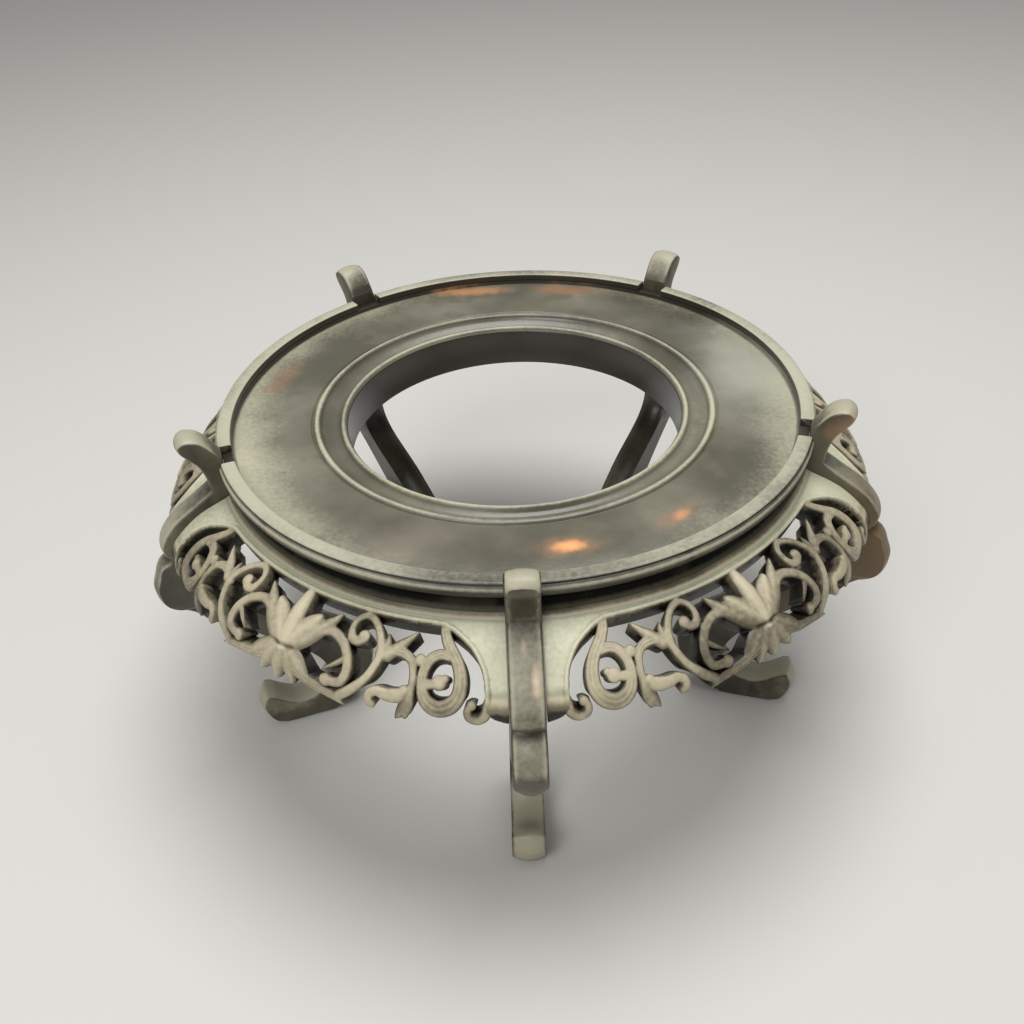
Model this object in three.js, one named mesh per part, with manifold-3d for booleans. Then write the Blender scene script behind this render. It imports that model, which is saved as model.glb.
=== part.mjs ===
// A carved hardwood stand for a porcelain bowl. Sizes are in millimetres, with +Z up.
import * as THREE from "three";
import { mergeVertices } from "three/addons/utils/BufferGeometryUtils.js";
import Module from "manifold-3d";

const wasm = await Module();
wasm.setup();

// Overall sizes
const legCount = 5;
const rimRadius = 152;
const rimTopHeight = 182;
const fitGap = 0.3;

// The turned board: depths are measured down from the rim's top face
const holeRadius = 86.7;
const beadWidth = 3.9;
const beadTopDepth = 7.2;
const valleyDepth = 10.8;
const ridgeInnerRadius = 100.3;
const ridgeWidth = 3.8;
const ridgeDepth = 5.3;
const grooveWidth = 0.9;
const grooveDepth = 7;
const floorDepth = 6;
const floorRadius = 144.9;
const ledgeDepth = 4;
const ledgeWidth = 4.9;
const flangeDepth = 9;
const boardPlugRadius = 144;
const boardDepth = 30;

// The rim that stands on the ledge
const rimGrooveDepth = 2;
const rimGrooveWidth = 0.7;
const rimBeadReach = 1;
const rimBeadDepth = 5;
const rimSkirtDepth = 8;

// The waist under the board's flange
const waistDepth = 17;
const waistReach = 150;
const waistHollow = 2.6;

// The legs: widths, and outlines as [out from the rim's radius, height]
const legWidth = 15;
const footWidth = 17.2;
const legTaperDepth = 52;
const arris = 1.2;
const hookRoot = 2.3;
const hookLine = [[6.5, 8.8], [14.4, 16], [18.4, 17.9], [20.3, 13], [16.5, 2.2], [8.6, -5.8], [6.8, -15.2]];
const shoulderLine = [[14.5, -20.2], [28.5, -30.4], [36.9, -42.5], [36.5, -51.4]];
const kneeLine = [[42, 122.8], [46.2, 110.6], [41, 96.6], [25, 83.8]];
const ankleLine = [[0, 68.2], [-22, 48.2], [-31.2, 30], [-24, 18.2], [-12, 15.6], [0, 23.6]];
const toeLine = [[6, 24.2], [9.4, 14.8], [3.5, 2.2], [-7.6, 0]];
const heelLine = [[-43, 5], [-56, 22], [-58, 45], [-34, 67.8]];
const innerKneeLine = [[-3, 87.4], [4.6, 104], [-1.5, 128.8]];
const soleBack = -30.4;

// The dowels between the legs and the board
const dowelDiameter = 6;
const dowelDepth = 22;
const dowelInBoard = 12;
const dowelInLeg = 14;

// The aprons: profile of the front face as [radius, depth], then flat sizes along and down that face
const apronProfile = [[149, 16], [152.3, 19.3], [162.6, 23.6], [169.6, 27.4], [177, 33.4], [182.4, 39.2],
  [185.1, 45.6], [186.2, 53.2], [185.4, 63.8]];
const apronThickness = 9.5;
const carvingRadius = 186;
const railWidth = 9;
const archHalfLength = 74.7;
const archEdge = [[78.5, 9.8], [84.6, 13], [92, 19], [97, 27], [98.4, 36]];
const flankCurl = [[95.4, 38], [92.8, 39.4], [93.4, 42], [97, 43.8], [94.6, 45.4], [89.8, 45.8]];
const flankFoot = [[96, 48.2], [107, 49.6], [116, 50.6]];
const lotusEdge = [[0, 8.4], [2.4, 9.6], [3.9, 13], [3.4, 18.8], [8, 19.4], [15.4, 18], [23.6, 13.6], [21.8, 20],
  [17, 26.6], [9, 34], [8.6, 37.6], [16, 42.6], [31, 47], [36.8, 51.6], [27.6, 49.6], [17.6, 48.8], [11, 50],
  [7, 47.6], [0, 51.4]];
const tongueLength = 4;
const tongueThickness = 3.3;
const tongueSetBack = 3;
const tongueTop = 9;
const tongueBottom = 37;
const tongueRoot = 3;

// Fineness of the curved surfaces
const turnedSteps = 50;
const paceTrials = 90;
const paceTurn = 0.75;
const paceLength = 19;
const longestFacet = 30;
const bendAlong = 0.75;

const sector = (2 * Math.PI) / legCount;
const ledgeRadius = floorRadius + ledgeWidth;
const legFaceRadius = ledgeRadius + fitGap;
const innerRadius = boardPlugRadius + fitGap;
const halfLeg = legWidth / 2;
const waistTopDepth = flangeDepth + fitGap;
const apronTopDepth = waistDepth + fitGap;

// A closed geometry as a solid that can be joined and cut
function solid(geometry) {
  const bare = geometry.index ? geometry.toNonIndexed() : geometry.clone();
  bare.deleteAttribute("normal");
  bare.deleteAttribute("uv");
  const merged = mergeVertices(bare, 1e-3);
  return solidOf(merged.attributes.position.array, new Uint32Array(merged.index.array));
}

function solidOf(vertProperties, triVerts) {
  return new wasm.Manifold(new wasm.Mesh({ numProp: 3, vertProperties, triVerts }));
}

function geometryOf(body) {
  const { vertProperties, triVerts } = body.getMesh();
  const geometry = new THREE.BufferGeometry();
  geometry.setAttribute("position", new THREE.BufferAttribute(new Float32Array(vertProperties), 3));
  geometry.setIndex(new THREE.BufferAttribute(new Uint32Array(triVerts), 1));
  const faceted = geometry.toNonIndexed();
  faceted.computeVertexNormals();
  return faceted;
}

const joined = (bodies) => bodies.reduce((whole, body) => whole.add(body));

// A full turn of a closed profile of [radius, height] points, listed anticlockwise
function turned(profile) {
  const points = [...profile, profile[0]].map(([radius, height]) => new THREE.Vector2(radius, height));
  return solid(new THREE.LatheGeometry(points, turnedSteps).rotateX(Math.PI / 2));
}

// The space between two neighbouring legs, about +X, whose sides stay "reach" from the legs' middle planes
function bay(reach) {
  const far = 3 * rimRadius;
  const tip = reach / Math.sin(sector / 2);
  const side = far * Math.tan(sector / 2);
  const wedge = new THREE.Shape();
  wedge.moveTo(tip, 0);
  wedge.lineTo(tip + far, -side);
  wedge.lineTo(tip + far, side);
  const depth = 2 * rimTopHeight;
  return solid(new THREE.ExtrudeGeometry(wedge, { depth, bevelEnabled: false }));
}

const height = (depth) => rimTopHeight - depth;
const outward = ([out, level]) => new THREE.Vector2(rimRadius + out, level);
const fromRim = ([out, rise]) => outward([out, rimTopHeight + rise]);

function seatBoard() {
  const beadRadius = holeRadius + beadWidth;
  const ridgeOuter = ridgeInnerRadius + ridgeWidth;
  const board = turned([
    [holeRadius, height(boardDepth)],
    [boardPlugRadius, height(boardDepth)],
    [boardPlugRadius, height(flangeDepth)],
    [ledgeRadius, height(flangeDepth)],
    [ledgeRadius, height(ledgeDepth)],
    [floorRadius, height(ledgeDepth)],
    [floorRadius, height(floorDepth)],
    [ridgeOuter + grooveWidth, height(floorDepth)],
    [ridgeOuter + grooveWidth, height(grooveDepth)],
    [ridgeOuter, height(grooveDepth)],
    [ridgeOuter, height(ridgeDepth)],
    [ridgeInnerRadius, height(ridgeDepth)],
    [ridgeInnerRadius - 2, height(valleyDepth - 1.4)],
    [beadRadius + 2.4, height(valleyDepth)],
    [beadRadius, height(beadTopDepth + 1.8)],
    [beadRadius - 1, height(beadTopDepth + 0.3)],
    [holeRadius + 1.6, height(beadTopDepth)],
    [holeRadius, height(beadTopDepth + 1.8)],
  ]);
  const hole = dowelPeg(dowelDiameter / 2 + fitGap, dowelInBoard + 1, dowelInLeg);
  const holes = Array.from({ length: legCount }, (_, i) => solid(hole.clone().rotateZ(i * sector)));
  return geometryOf(board.subtract(joined(holes)));
}

// A round peg along +X, through the joint between the board and a leg
function dowelPeg(radius, inBoard, inLeg) {
  const peg = new THREE.CylinderGeometry(radius, radius, inBoard + inLeg, 8);
  peg.rotateZ(Math.PI / 2);
  return peg.translate(boardPlugRadius + (inLeg - inBoard) / 2, 0, height(dowelDepth));
}

function rimSegment() {
  const underside = ledgeDepth - fitGap;
  const ring = turned([
    [floorRadius, height(underside)],
    [ledgeRadius + fitGap, height(underside)],
    [ledgeRadius + fitGap, height(rimSkirtDepth)],
    [rimRadius + rimBeadReach - 0.5, height(rimSkirtDepth)],
    [rimRadius + rimBeadReach, height(rimBeadDepth)],
    [rimRadius, height(rimGrooveDepth + 0.7)],
    [rimRadius - rimGrooveWidth, height(rimGrooveDepth)],
    [rimRadius, height(rimGrooveDepth - 0.7)],
    [rimRadius - 0.4, height(0)],
    [floorRadius, height(0)],
  ]);
  return geometryOf(ring.intersect(bay(halfLeg + fitGap)));
}

// A hollow quarter-round waist: its face is an arc between its two edges
function waistSegment() {
  const face = [0, 0.25, 0.5, 0.75, 1].map((share) => {
    const dip = waistHollow * Math.sin(Math.PI * share);
    return [waistReach - dip, height(waistDepth + (waistTopDepth - waistDepth) * share)];
  });
  const ring = turned([[innerRadius, height(waistDepth)], ...face, [innerRadius, height(waistTopDepth)]]);
  return geometryOf(ring.intersect(bay(halfLeg + fitGap)));
}

function legSolid() {
  const outline = new THREE.Shape();
  outline.moveTo(legFaceRadius, height(-hookRoot));
  outline.splineThru(hookLine.map(fromRim));
  outline.splineThru(shoulderLine.map(fromRim));
  outline.splineThru([...kneeLine, ...ankleLine].map(outward));
  outline.splineThru(toeLine.map(outward));
  outline.lineTo(rimRadius + soleBack, 0);
  outline.splineThru([...heelLine, ...innerKneeLine].map(outward));
  outline.lineTo(innerRadius, height(boardDepth));
  outline.lineTo(innerRadius, height(waistTopDepth));
  outline.lineTo(legFaceRadius, height(waistTopDepth));
  const blank = new THREE.ExtrudeGeometry(outline, {
    depth: legWidth - 2 * arris,
    curveSegments: 2,
    bevelThickness: arris,
    bevelSize: arris,
    bevelOffset: -arris,
    bevelSegments: 1,
  });
  blank.translate(0, 0, arris - halfLeg).rotateX(Math.PI / 2);
  spreadFoot(blank);
  return solid(blank);
}

// The leg widens evenly from below the apron down to the foot
function spreadFoot(blank) {
  const place = blank.attributes.position;
  const start = height(legTaperDepth);
  for (let i = 0; i < place.count; i++) {
    const drop = Math.max(0, start - place.getZ(i)) / start;
    place.setY(i, place.getY(i) * (1 + (footWidth / legWidth - 1) * drop));
  }
}

function leg() {
  const floor = halfLeg - tongueLength - fitGap;
  const left = solid(tongueBar(floor, legWidth, fitGap));
  const right = solid(tongueBar(-legWidth, -floor, fitGap));
  const dowelHole = solid(dowelPeg(dowelDiameter / 2 + fitGap, dowelInBoard, dowelInLeg + 1));
  return geometryOf(legSolid().subtract(left).subtract(right).subtract(dowelHole));
}

// Flat carving work: +X runs along the apron, +Y up and +Z out of its face
function plate(shape) {
  const blank = new THREE.ExtrudeGeometry(shape, { depth: apronThickness, bevelEnabled: false });
  return solid(blank.translate(0, 0, -apronThickness));
}

// Places along a line from 0 to 1: closer together where it bends
function paces(line, closed) {
  const marks = [0];
  const stride = line.getLength() / paceTrials;
  let turn = 0;
  let run = 0;
  for (let i = 1; i < paceTrials; i++) {
    turn += line.getTangentAt(i / paceTrials).angleTo(line.getTangentAt((i - 1) / paceTrials));
    run += stride;
    if (turn < paceTurn && run < paceLength) continue;
    marks.push(i / paceTrials);
    turn = 0;
    run = 0;
  }
  return closed ? marks : [...marks, 1];
}

// A carved ribbon through [along, down, width] points
function ribbon(points, closed = false) {
  const places = points.map(([along, down, width]) => new THREE.Vector3(along, -down, width));
  const line = new THREE.CatmullRomCurve3(places, closed, "centripetal");
  const left = [];
  const right = [];
  paces(line, closed).forEach((share) => {
    const at = line.getPointAt(share);
    const run = line.getTangentAt(share);
    const side = new THREE.Vector2(-run.y, run.x).normalize().multiplyScalar(at.z / 2);
    left.push(new THREE.Vector2(at.x, at.y).add(side));
    right.push(new THREE.Vector2(at.x, at.y).sub(side));
  });
  if (!closed) return plate(new THREE.Shape([...left, ...right.reverse()]));
  const band = new THREE.Shape(left);
  band.holes.push(new THREE.Path(right.reverse()));
  return plate(band);
}

// Half of the rail and the flank that frame the pierced scrolls
function frameHalf() {
  const outline = new THREE.Shape();
  const down = ([along, depth]) => new THREE.Vector2(along, -depth);
  outline.moveTo(0, 0);
  outline.lineTo(0, -railWidth);
  outline.lineTo(archHalfLength, -railWidth);
  [...archEdge, ...flankCurl, ...flankFoot].map(down).forEach((point) => outline.lineTo(point.x, point.y));
  outline.lineTo(flankFoot[flankFoot.length - 1][0], 0);
  return plate(outline);
}

// Half of the lotus with its fan and the band at its foot, from the middle line outwards
function lotusHalf() {
  const outline = lotusEdge.map(([along, down]) => new THREE.Vector2(along, -down));
  return plate(new THREE.Shape(outline));
}

// The scrolls on one side of the lotus, outwards from it
const scrollHalf = () => [
  ribbon([[12, 26, 4.6], [21.5, 21.6, 4.6], [29.2, 24.2, 4.4], [34.2, 30, 4.4], [35.6, 36.5, 4.4],
    [33.2, 41.6, 4.6], [27.6, 42.6, 5.8]]),
  ribbon([[34, 47.6, 4.4], [45.1, 37, 3.6], [49.6, 25, 3.8], [47.4, 18.5, 3.6], [43, 12.8, 3.4],
    [37.3, 10, 3.6], [33, 12.6, 3.2], [31.8, 17, 3.2], [33.4, 21.4, 3.4], [37.6, 22.4, 3.4], [40.6, 19.2, 4.6]]),
  ribbon([[49.5, 24.6, 3.6], [58.4, 22.6, 4.4], [67.2, 25.4, 6], [66.9, 33, 2.6], [66.4, 43, 3.2],
    [64.5, 50.8, 0.8]]),
  ribbon([[55, 23, 5], [58.8, 18, 3.4], [64.6, 14, 0.8]]),
  ribbon([[66.6, 42.2, 7], [56, 41, 4.4], [49.8, 42.6, 3.4], [48.9, 47, 4.4]]),
  ribbon([[79.9, 21, 4.5], [86, 24, 4.8], [88.2, 31, 5.2], [87.4, 38, 5.8], [83.4, 43.3, 7],
    [78, 44.6, 7], [73.2, 40.5, 5], [71.4, 34, 3.4], [71.6, 28, 3.4], [74.8, 22.8, 4.2]], true),
  ribbon([[71.6, 33.6, 4.2], [76, 33.4, 3.6], [81, 32.8, 5.4]]),
  ribbon([[77.9, 7.5, 4.4], [80.5, 20.5, 7]]),
];

function mirrored(body) {
  const { vertProperties, triVerts } = body.getMesh();
  const flipped = vertProperties.map((value, i) => (i % 3 === 0 ? -value : value));
  return solidOf(flipped, triVerts.slice().reverse());
}

// Facets longer than the limit are halved, so that the flat work can bend
function splitLong(body, limit) {
  const mesh = body.getMesh();
  const points = Array.from(mesh.vertProperties);
  let faces = Array.from(mesh.triVerts);
  const gap = (a, b, k) => points[3 * a + k] - points[3 * b + k];
  const span = (a, b) => Math.hypot(bendAlong * gap(a, b, 0), gap(a, b, 1), gap(a, b, 2));
  for (let changed = true; changed; ) {
    changed = false;
    const middles = new Map();
    const middle = (a, b) => {
      if (span(a, b) <= limit) return -1;
      const key = Math.min(a, b) + "_" + Math.max(a, b);
      if (!middles.has(key)) {
        middles.set(key, points.length / 3);
        for (let k = 0; k < 3; k++) points.push((points[3 * a + k] + points[3 * b + k]) / 2);
      }
      return middles.get(key);
    };
    const next = [];
    for (let i = 0; i < faces.length; i += 3) {
      const corners = faces.slice(i, i + 3);
      const cuts = corners.map((corner, k) => middle(corner, corners[(k + 1) % 3]));
      next.push(...splitFace(corners, cuts));
    }
    changed = middles.size > 0;
    faces = next;
  }
  return { points, faces };
}

// One face with the middles of its cut sides, as the faces that replace it
function splitFace(corners, cuts) {
  const count = cuts.filter((cut) => cut >= 0).length;
  const turn = (k) => [0, 1, 2].map((i) => [corners[(i + k) % 3], cuts[(i + k) % 3]]);
  if (count === 0) return corners;
  if (count === 1) {
    const [[a, ab], [b], [c]] = turn(cuts.findIndex((cut) => cut >= 0));
    return [a, ab, c, ab, b, c];
  }
  if (count === 2) {
    const [[a, ab], [b, bc], [c]] = turn((cuts.findIndex((cut) => cut < 0) + 1) % 3);
    return [a, ab, c, ab, bc, c, ab, b, bc];
  }
  const [[a, ab], [b, bc], [c, ca]] = turn(0);
  return [a, ab, ca, ab, b, bc, ca, bc, c, ab, bc, ca];
}

const faceCurve = new THREE.SplineCurve(
  apronProfile.map(([radius, depth]) => new THREE.Vector2(radius, height(depth))),
);
const faceLength = faceCurve.getLength();

// The [radius, height] of a place that is "down" along the apron's face and "out" from it
function facePoint(down, out) {
  const share = THREE.MathUtils.clamp(down / faceLength, 0, 1);
  const at = faceCurve.getPointAt(share);
  const run = faceCurve.getTangentAt(share);
  return new THREE.Vector2(at.x - run.y * out, at.y + run.x * out);
}

// A place in the flat work once it is bent round the stand
function bent(place) {
  const at = facePoint(-place.y, place.z);
  const angle = place.x / carvingRadius;
  return new THREE.Vector3(at.x * Math.cos(angle), at.x * Math.sin(angle), at.y);
}

// Flat work bent round the stand, onto the bulging face of the apron
function wrapped(body) {
  const { points, faces } = splitLong(body, longestFacet);
  const places = [];
  for (let i = 0; i < points.length; i += 3) {
    places.push(...bent(new THREE.Vector3(...points.slice(i, i + 3))));
  }
  return solidOf(new Float32Array(places), new Uint32Array(faces));
}

// A straight bar square to a leg's side: an apron's tongue or, with a gap, the mortise for it
function tongueBar(from, to, gap) {
  const [top, bottom] = [tongueTop, tongueBottom].map((down) => facePoint(down, -tongueSetBack));
  const run = bottom.clone().sub(top).normalize();
  const back = new THREE.Vector2(run.y, -run.x).multiplyScalar(tongueThickness + gap);
  const front = new THREE.Vector2(-run.y, run.x).multiplyScalar(gap);
  run.multiplyScalar(gap);
  const corners = [
    top.clone().sub(run).add(front),
    top.clone().sub(run).add(back),
    bottom.clone().add(run).add(back),
    bottom.clone().add(run).add(front),
  ];
  const bar = new THREE.ExtrudeGeometry(new THREE.Shape(corners), { depth: to - from, bevelEnabled: false });
  return bar.rotateX(Math.PI / 2).translate(0, to, 0);
}

function apron() {
  const half = joined([frameHalf(), lotusHalf(), ...scrollHalf()]);
  const flat = half.add(mirrored(half));
  const panel = wrapped(flat).intersect(bay(halfLeg + fitGap));
  const start = halfLeg - tongueLength;
  const tongue = tongueBar(start, halfLeg + tongueRoot, 0);
  const other = tongueBar(-halfLeg - tongueRoot, -start, 0);
  const tongues = solid(tongue.rotateZ(-sector / 2)).add(solid(other.rotateZ(sector / 2)));
  const reach = 2 * rimRadius;
  const envelope = turned([
    [innerRadius, 0],
    [reach, 0],
    [reach, height(apronTopDepth)],
    [innerRadius, height(apronTopDepth)],
  ]);
  return geometryOf(panel.add(tongues).intersect(envelope));
}

// Dark polished wood, a little paler where hands and bowls have worn it
const wood = (colour, roughness) => new THREE.MeshStandardMaterial({ color: colour, roughness, metalness: 0 });
const boardWood = wood(0x4b463c, 0.38);
const rimWood = wood(0x6a6354, 0.5);
const waistWood = wood(0x1d1813, 0.6);
const apronWood = wood(0x5f584a, 0.6);
const legWood = wood(0x57503f, 0.5);
const dowelWood = wood(0x7a5c3a, 0.7);

function piece(name, geometry, material, angle = 0) {
  const mesh = new THREE.Mesh(geometry, material);
  mesh.name = name;
  mesh.rotation.z = angle;
  return mesh;
}

const stand = new THREE.Group();
stand.add(piece("seat_board", seatBoard(), boardWood));
const legGeometry = leg();
const rimGeometry = rimSegment();
const waistGeometry = waistSegment();
const apronGeometry = apron();
const dowelGeometry = dowelPeg(dowelDiameter / 2, dowelInBoard, dowelInLeg);
for (let i = 0; i < legCount; i++) {
  const place = new THREE.Group();
  place.rotation.z = i * sector;
  place.add(piece(`leg_${i + 1}`, legGeometry, legWood));
  place.add(piece(`leg_dowel_${i + 1}`, dowelGeometry, dowelWood));
  place.add(piece(`rim_${i + 1}`, rimGeometry, rimWood, sector / 2));
  place.add(piece(`waist_${i + 1}`, waistGeometry, waistWood, sector / 2));
  place.add(piece(`apron_${i + 1}`, apronGeometry, apronWood, sector / 2));
  stand.add(place);
}

// Leg 1 faces the front, and the origin is on the floor at the middle of the stand's box
stand.rotation.z = -Math.PI / 2;
const footprint = new THREE.Box3().setFromObject(stand, true);
stand.position.set(
  -(footprint.min.x + footprint.max.x) / 2,
  -(footprint.min.y + footprint.max.y) / 2,
  -footprint.min.z,
);

const part = new THREE.Group();
part.add(stand);
export default part;
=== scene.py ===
import math

import bmesh
import bpy
import numpy as np
from mathutils import Matrix, Vector


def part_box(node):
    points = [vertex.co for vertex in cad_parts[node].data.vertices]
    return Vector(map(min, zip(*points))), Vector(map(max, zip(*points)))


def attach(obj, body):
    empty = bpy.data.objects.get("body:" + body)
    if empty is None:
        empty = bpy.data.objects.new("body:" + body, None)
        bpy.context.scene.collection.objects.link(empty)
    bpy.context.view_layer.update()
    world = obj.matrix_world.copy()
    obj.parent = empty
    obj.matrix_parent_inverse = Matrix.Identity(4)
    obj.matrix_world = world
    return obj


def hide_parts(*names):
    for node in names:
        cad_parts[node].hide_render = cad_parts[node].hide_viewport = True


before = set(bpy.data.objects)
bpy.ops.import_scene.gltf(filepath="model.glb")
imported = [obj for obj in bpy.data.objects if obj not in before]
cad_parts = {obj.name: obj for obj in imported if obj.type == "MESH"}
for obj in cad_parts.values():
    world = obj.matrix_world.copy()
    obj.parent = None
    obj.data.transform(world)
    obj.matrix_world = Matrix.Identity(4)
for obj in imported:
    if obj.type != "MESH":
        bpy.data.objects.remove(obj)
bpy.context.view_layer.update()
low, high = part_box("seat_board")
axisPlace = Vector(((low.x + high.x) / 2, (low.y + high.y) / 2, 0))  # the axis of the turned parts
legCount = 5
sector = 2 * math.pi / legCount
frontAngle = -math.pi / 2  # leg 1 points at the viewer
rimTop = 182  # sizes are in millimetres until a piece is kept
millimetre = 0.001
tolerance = 1e-5


def throughPoints(points, steps):  # a smooth line through points, with so many steps between two of them
    places = [np.array(point, float) for point in points]
    last = len(places) - 1
    line = [places[0]]
    for i in range(last):
        before, start, end, after = (places[min(max(i + k, 0), last)] for k in (-1, 0, 1, 2))
        leave, arrive = (end - before) / 2, (after - start) / 2
        for t in np.arange(1, steps + 1) / steps:
            line.append((2 * start - 2 * end + leave + arrive) * t ** 3
                        + (3 * end - 3 * start - 2 * leave - arrive) * t ** 2 + leave * t + start)
    return line


def beside(place, steps):  # points given by their steps from one place
    return [[place[0] + first, place[1] + second] for first, second in steps]


def smoothStep(value, start, end):
    share = np.clip((value - start) / (end - start), 0, 1)
    return share * share * (3 - 2 * share)


def bell(value, centre, width):
    return np.exp(-((value - centre) / width) ** 2)


def below(value, limit):
    return value < limit


def above(value, limit):
    return value > limit


def turnOutwards(shape):
    bmesh.ops.recalc_face_normals(shape, faces=shape.faces)


def cutThrough(shape, place, direction, clear=False):
    return bmesh.ops.bisect_plane(shape, geom=shape.verts[:] + shape.edges[:] + shape.faces[:], dist=tolerance,
                                  plane_co=place, plane_no=direction, clear_outer=clear)


def softenEdges(shape, edges, width, segments, clamp):
    bmesh.ops.bevel(shape, geom=edges, offset=width, offset_type="OFFSET", segments=segments, profile=0.5,
                    affect="EDGES", clamp_overlap=clamp, material=-1)


def meshOf(shape, name):
    mesh = bpy.data.meshes.new(name)
    shape.to_mesh(mesh)
    shape.free()
    return mesh


def placesOf(mesh):
    places = np.empty(len(mesh.vertices) * 3)
    mesh.vertices.foreach_get("co", places)
    return places.reshape(-1, 3)


def keepMesh(mesh, name, nodes, material, wear, crease):  # a mesh in millimetres becomes a piece
    mesh.attributes.new("wear", "FLOAT", "POINT").data.foreach_set("value", wear.astype(np.float32))
    mesh.transform(Matrix.Translation(axisPlace) @ Matrix.Scale(millimetre, 4))
    mesh.shade_smooth()
    mesh.set_sharp_from_angle(angle=math.radians(crease))
    mesh.materials.append(material)
    piece = bpy.data.objects.new(name, mesh)
    bpy.context.scene.collection.objects.link(piece)
    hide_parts(*nodes)
    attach(piece, "root")


# Materials

def newMaterial(name):
    material = bpy.data.materials.new(name)
    material.use_nodes = True
    tree = material.node_tree
    return material, tree, tree.nodes["Principled BSDF"]


def plugIn(tree, value, socket):  # a link from another node, or the socket's own value
    if isinstance(value, bpy.types.NodeSocket):
        tree.links.new(value, socket)
    else:
        socket.default_value = value


def addNode(tree, kind, settings=None, **sockets):
    node = tree.nodes.new(kind)
    for key, value in (settings or {}).items():
        setattr(node, key, value)
    for key, value in sockets.items():
        plugIn(tree, value, next(s for s in node.inputs if s.name.replace(" ", "") == key and s.enabled))
    return node


def outOf(node, name):
    return next(s for s in node.outputs if s.enabled and s.name == name)


def mathNode(tree, operation, *values):
    node = addNode(tree, "ShaderNodeMath", {"operation": operation})
    for socket, value in zip(node.inputs, values):
        plugIn(tree, value, socket)
    return node.outputs[0]


def mixColour(tree, share, first, second):
    node = addNode(tree, "ShaderNodeMix", {"data_type": "RGBA"})
    for index, value in ((0, share), (6, first), (7, second)):  # the sockets that a mix of colours uses
        plugIn(tree, value, node.inputs[index])
    return node.outputs[2]


def spread(tree, value, reach):  # 0 below the reach's start, 1 above its end
    node = addNode(tree, "ShaderNodeMapRange", {"interpolation_type": "SMOOTHSTEP"})
    for index, number in enumerate((value, *reach)):
        plugIn(tree, number, node.inputs[index])
    return node.outputs[0]


def fromScreen(red, green, blue):  # a colour as it looks on a screen, as linear light
    linear = [((c / 255 + 0.055) / 1.055) ** 2.4 if c > 10 else c / 255 / 12.92 for c in (red, green, blue)]
    return (*linear, 1)


def noiseOn(tree, place, scale, detail, stretch=(1, 1, 1)):
    turned = addNode(tree, "ShaderNodeMapping", Vector=place, Scale=stretch)
    noise = addNode(tree, "ShaderNodeTexNoise", Vector=turned.outputs[0], Scale=scale, Detail=detail)
    return outOf(noise, "Fac")


def sway(tree, noise, amount):  # a noise about its middle, so strong
    return mathNode(tree, "MULTIPLY", mathNode(tree, "SUBTRACT", noise, 0.5), amount)


wood = {  # what all the woods share
    "cloudDetail": 5, "cloudReach": (0.35, 0.65),
    "grainScale": 60, "grainDetail": 6, "grainReach": (0.52, 0.72), "grainHeight": 0.6,
    "speckScale": 420, "speckDetail": 3, "speckSway": 0.35, "speckHeight": 0.5,
    # where the painted sheen begins, and how it runs from its dim to its pale colour
    "smoothReach": (0.98, 1.3), "polishReach": (1.35, 1.75),
    "raggedDetail": 6, "raggedSway": 0.9, "patchReach": (0.12, 0.95), "patchEdge": (0.0, 0.45),
    "roughReach": (0.1, 0.9), "roughSway": 0.22, "coatRoughness": 0.38, "bumpDistance": 0.0006,
}


def patchOn(tree, place, body, patch):  # a ragged patch in a ball round its middle
    middle, turn, size, raggedness, strength, colour = patch
    spot = addNode(tree, "ShaderNodeMapping", {"vector_type": "TEXTURE"}, Vector=place, Location=middle,
                   Rotation=(0, 0, turn), Scale=size)
    ball = addNode(tree, "ShaderNodeTexGradient", {"gradient_type": "SPHERICAL"}, Vector=spot.outputs[0])
    ball = outOf(ball, "Fac")
    ragged = noiseOn(tree, place, raggedness, wood["raggedDetail"])
    share = spread(tree, mathNode(tree, "ADD", ball, sway(tree, ragged, wood["raggedSway"])), wood["patchReach"])
    share = mathNode(tree, "MULTIPLY", share, spread(tree, ball, wood["patchEdge"]))
    return mixColour(tree, mathNode(tree, "MULTIPLY", share, strength), body, fromScreen(*colour))


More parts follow.
